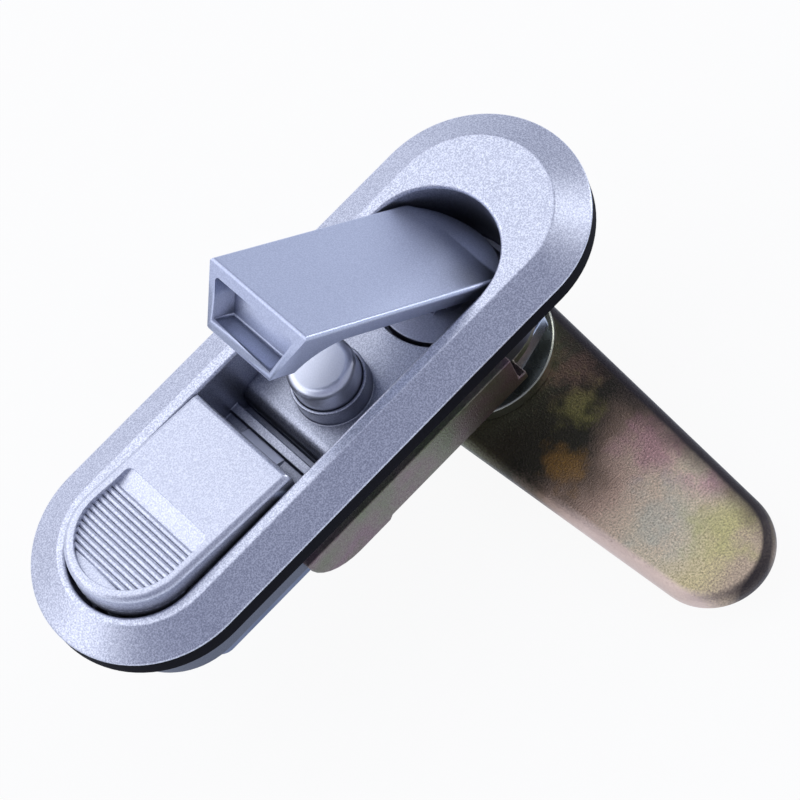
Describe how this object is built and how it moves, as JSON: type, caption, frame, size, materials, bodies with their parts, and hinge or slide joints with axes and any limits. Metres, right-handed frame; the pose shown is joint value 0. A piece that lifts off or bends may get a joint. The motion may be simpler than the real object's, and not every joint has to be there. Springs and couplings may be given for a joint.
{
  "type": "flush swing-handle panel lock",
  "caption": "Flush stadium panel lock: push button frees a pop-up swing handle whose spindle turns a long steel cam behind a cabinet door.",
  "frame": {"origin": "middle of the face plate, on the door's face under the gasket", "axes": "+Z out of the door, +X along the plate towards the handle's pivot end, +Y across the plate"},
  "size_m": [0.116, 0.0865, 0.0736],
  "materials": {
    "housing": "sand-matte chrome on die-cast zinc",
    "handle": "sand-matte chrome on die-cast zinc",
    "button": "sand-matte chrome on die-cast zinc",
    "stud": "sand-matte chrome",
    "spindle": "matte chrome",
    "gasket": "matte moulded rubber",
    "seal": "moulded rubber",
    "base_plate": "blue-white zinc",
    "base_screws": "blue-white zinc",
    "clamp_bracket": "yellow iridescent passivate",
    "boss_nut": "blue-white zinc",
    "handle_pin": "plain steel",
    "button_pin": "blue-white zinc",
    "handle_spring": "spring steel",
    "button_spring": "spring steel",
    "latch_spring": "spring steel",
    "stud_spring": "spring steel",
    "latch_bolt": "zinc-plated steel",
    "cam_collar": "yellow iridescent passivate",
    "cam": "yellow iridescent passivate",
    "cam_washer": "blue-white zinc",
    "cam_bolt": "blue-white zinc"
  },
  "bodies": {
    "root": {"housing": "housing", "gasket": "gasket", "base_plate": "base_plate", "base_screws": "base_screws", "button_pin": "button_pin", "spindle_seal": "seal", "button_spring": "button_spring", "latch_spring": "latch_spring", "stud_spring": "stud_spring"},
    "clamp": {"clamp_bracket": "clamp_bracket"},
    "nut": {"boss_nut": "boss_nut"},
    "turntable": {"spindle": "spindle", "handle_pin": "handle_pin", "handle_spring": "handle_spring", "cam_collar": "cam_collar", "cam": "cam", "cam_washer": "cam_washer", "cam_bolt": "cam_bolt"},
    "handle": {"handle": "handle"},
    "button": {"button": "button"},
    "latch": {"latch_bolt": "latch_bolt"},
    "stud": {"buffer_stud": "stud"}
  },
  "joints": [
    {"name": "spindle_turn", "type": "hinge", "parent": "root", "child": "turntable", "pos_m": [0.0282, 0, 0], "axis": [0, 0, -1], "range_deg": [0, 90]},
    {"name": "handle_lift", "type": "hinge", "parent": "turntable", "child": "handle", "pos_m": [0.0266, 0, 0.0058], "axis": [0, 1, 0], "range_deg": [-44, 0], "stiffness_Nm_per_rad": 0.05, "springref_deg": 20.05, "deforming": ["handle_spring"]},
    {"name": "button_press", "type": "hinge", "parent": "root", "child": "button", "pos_m": [-0.0169, 0, 0.0047], "axis": [0, -1, 0], "range_deg": [0, 5], "stiffness_Nm_per_rad": 0.4, "springref_deg": -4.58, "deforming": ["button_spring"]},
    {"name": "latch_slide", "type": "slide", "parent": "root", "child": "latch", "axis": [-1, 0, 0], "range_m": [0, 0.003], "deforming": ["latch_spring"]},
    {"name": "stud_press", "type": "slide", "parent": "root", "child": "stud", "axis": [0, 0, 1], "range_m": [-0.003, 0], "stiffness_N_per_m": 600, "springref_m": 0.004, "deforming": ["stud_spring"]},
    {"name": "clamp_slide", "type": "slide", "parent": "root", "child": "clamp", "axis": [0, 0, 1], "range_m": [-0.003, 0]},
    {"name": "nut_turn", "type": "hinge", "parent": "clamp", "child": "nut", "pos_m": [0.0282, 0, 0], "axis": [0, 0, 1], "range_deg": [-720, 0]}
  ],
  "couplings": [
    {"joint": "latch_slide", "follows": "button_press", "m_per_rad": 0.034377},
    {"joint": "nut_turn", "follows": "clamp_slide", "rad_per_m": 4188.8}
  ]
}
